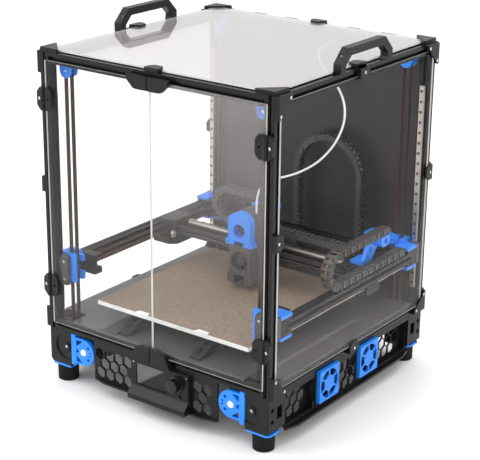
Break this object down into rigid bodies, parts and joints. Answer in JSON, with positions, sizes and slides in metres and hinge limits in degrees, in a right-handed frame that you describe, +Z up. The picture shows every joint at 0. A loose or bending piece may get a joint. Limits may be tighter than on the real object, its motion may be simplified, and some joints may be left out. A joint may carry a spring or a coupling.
{
  "type": "enclosed gantry 3D printer",
  "caption": "Enclosed box-frame filament printer with glazed doors, a belt-lifted gantry, cross slide, toolhead, heated bed plate, cable chains and carrying handles.",
  "frame": {"origin": "middle of the footprint, on the floor under the feet", "axes": "+Z up, -Y towards the doors and display, +X to the right seen from the front"},
  "size_m": [0.5292, 0.546, 0.678],
  "materials": {
    "black_extrusion": "black anodised aluminium, satin",
    "black_print": "printed plastic, fine layer lines, satin",
    "grey_print": "printed plastic, dark grey, satin",
    "blue_print": "printed plastic, bright azure, satin",
    "clear_acrylic": "clear acrylic, polished faces, bright cut edges",
    "grey_sheet": "dark grey opaque acrylic, glossy",
    "deck_sheet": "dark composite sheet, half gloss",
    "bright_steel": "bright button-head screws and nuts",
    "foot_rubber": "matte black rubber",
    "motor_black": "black stepper motor, bare laminations hidden",
    "white_pulley": "pale pulleys and bright shaft ends",
    "belt_brown": "toothed belt, brown-red fabric face",
    "rail_steel": "ground steel guide rail",
    "dark_steel": "carriage blocks, dark",
    "fan_black": "moulded black plastic",
    "bed_aluminium": "cast aluminium plate, bright machined edge",
    "sheet_brown": "textured brown plastic coating on spring steel",
    "module_metal": "pale grey module cases, mostly hollow",
    "switch_red": "red rocker",
    "screen_dark": "dark glossy display window",
    "knob_black": "glossy black plastic",
    "hotend_brass": "brass nozzle and heater",
    "chain_black": "moulded black chain links",
    "tube_white": "translucent white slippery plastic tube"
  },
  "bodies": {
    "chassis": {"frame_bars": "black_extrusion", "deck_panel": "deck_sheet", "back_panel": "grey_sheet", "clear_panels": "clear_acrylic", "panel_clips": "black_print", "fasteners": "bright_steel", "handles": "black_print", "z_drive_housings": "black_print", "z_base_plates": "blue_print", "feet": "foot_rubber", "z_tensioners": "blue_print", "z_motors": "motor_black", "z_idler_brackets": "blue_print", "z_pulleys": "white_pulley", "z_belts": "belt_brown", "z_rails": "rail_steel", "skirts": "black_print", "fan_grilles": "blue_print", "bay_fans": "fan_black", "bed_rails": "black_extrusion", "bed_brackets": "black_print", "bed_plate": "bed_aluminium", "build_sheet": "sheet_brown", "electronics_modules": "module_metal", "power_inlet": "fan_black", "display_case": "black_print", "display_screen": "screen_dark", "door_hinge_mounts": "black_print", "z_chain": "chain_black", "filament_tube": "tube_white"},
    "left_door": {"left_door_panel": "clear_acrylic", "left_door_fittings": "black_print"},
    "right_door": {"right_door_panel": "clear_acrylic", "right_door_fittings": "black_print"},
    "bay_wheel_front": {"bay_rotor_front": "fan_black"},
    "bay_wheel_rear": {"bay_rotor_rear": "fan_black"},
    "rocker": {"power_switch": "switch_red"},
    "menu_knob": {"display_knob": "knob_black"},
    "reset_key": {"reset_button": "knob_black"},
    "gantry": {"gantry_beams": "black_extrusion", "gantry_rails": "rail_steel", "z_joints": "blue_print", "z_carriages": "dark_steel", "gantry_belts": "belt_brown", "belt_drives": "black_print", "ab_motors": "motor_black", "drive_covers": "blue_print", "y_chain": "chain_black"},
    "cross_slide": {"cross_beam": "black_extrusion", "cross_rails": "rail_steel", "xy_joints": "black_print", "cross_belts": "belt_brown", "chain_arm": "blue_print", "x_chain": "chain_black"},
    "toolhead": {"head_carriage": "black_print", "extruder": "grey_print", "toolhead_cowl": "blue_print", "hotend_duct": "grey_print", "hotend": "hotend_brass"},
    "hotend_wheel": {"hotend_rotor": "fan_black"}
  },
  "joints": [
    {"name": "left_door_hinge", "type": "hinge", "parent": "chassis", "child": "left_door", "pos_m": [-0.244, -0.255, 0.374], "axis": [0, 0, -1], "range_deg": [0, 160]},
    {"name": "right_door_hinge", "type": "hinge", "parent": "chassis", "child": "right_door", "pos_m": [0.244, -0.255, 0.374], "axis": [0, 0, 1], "range_deg": [0, 160]},
    {"name": "bay_wheel_front_spin", "type": "hinge", "parent": "chassis", "child": "bay_wheel_front", "pos_m": [0.241, -0.07, 0.074], "axis": [1, 0, 0], "continuous": true},
    {"name": "bay_wheel_rear_spin", "type": "hinge", "parent": "chassis", "child": "bay_wheel_rear", "pos_m": [0.241, 0.063, 0.074], "axis": [1, 0, 0], "continuous": true},
    {"name": "rocker_tilt", "type": "hinge", "parent": "chassis", "child": "rocker", "pos_m": [-0.064, 0.263, 0.07], "axis": [1, 0, 0], "range_deg": [-12, 0]},
    {"name": "menu_knob_turn", "type": "hinge", "parent": "chassis", "child": "menu_knob", "pos_m": [0.06, -0.261, 0.082], "axis": [0, 1, 0], "continuous": true},
    {"name": "reset_key_press", "type": "slide", "parent": "chassis", "child": "reset_key", "axis": [0, 1, 0], "range_m": [0, 0.001], "stiffness_N_per_m": 300},
    {"name": "gantry_lift", "type": "slide", "parent": "chassis", "child": "gantry", "axis": [0, 0, 1], "range_m": [0, 0.25], "deforming": ["z_chain", "filament_tube"]},
    {"name": "cross_travel", "type": "slide", "parent": "gantry", "child": "cross_slide", "axis": [0, 1, 0], "range_m": [-0.2, 0.08], "deforming": ["y_chain"]},
    {"name": "head_travel", "type": "slide", "parent": "cross_slide", "child": "toolhead", "axis": [1, 0, 0], "range_m": [-0.155, 0.15], "deforming": ["x_chain"]},
    {"name": "hotend_wheel_spin", "type": "hinge", "parent": "toolhead", "child": "hotend_wheel", "pos_m": [0.003, 0.0095, 0.222], "axis": [0, 1, 0], "continuous": true}
  ]
}
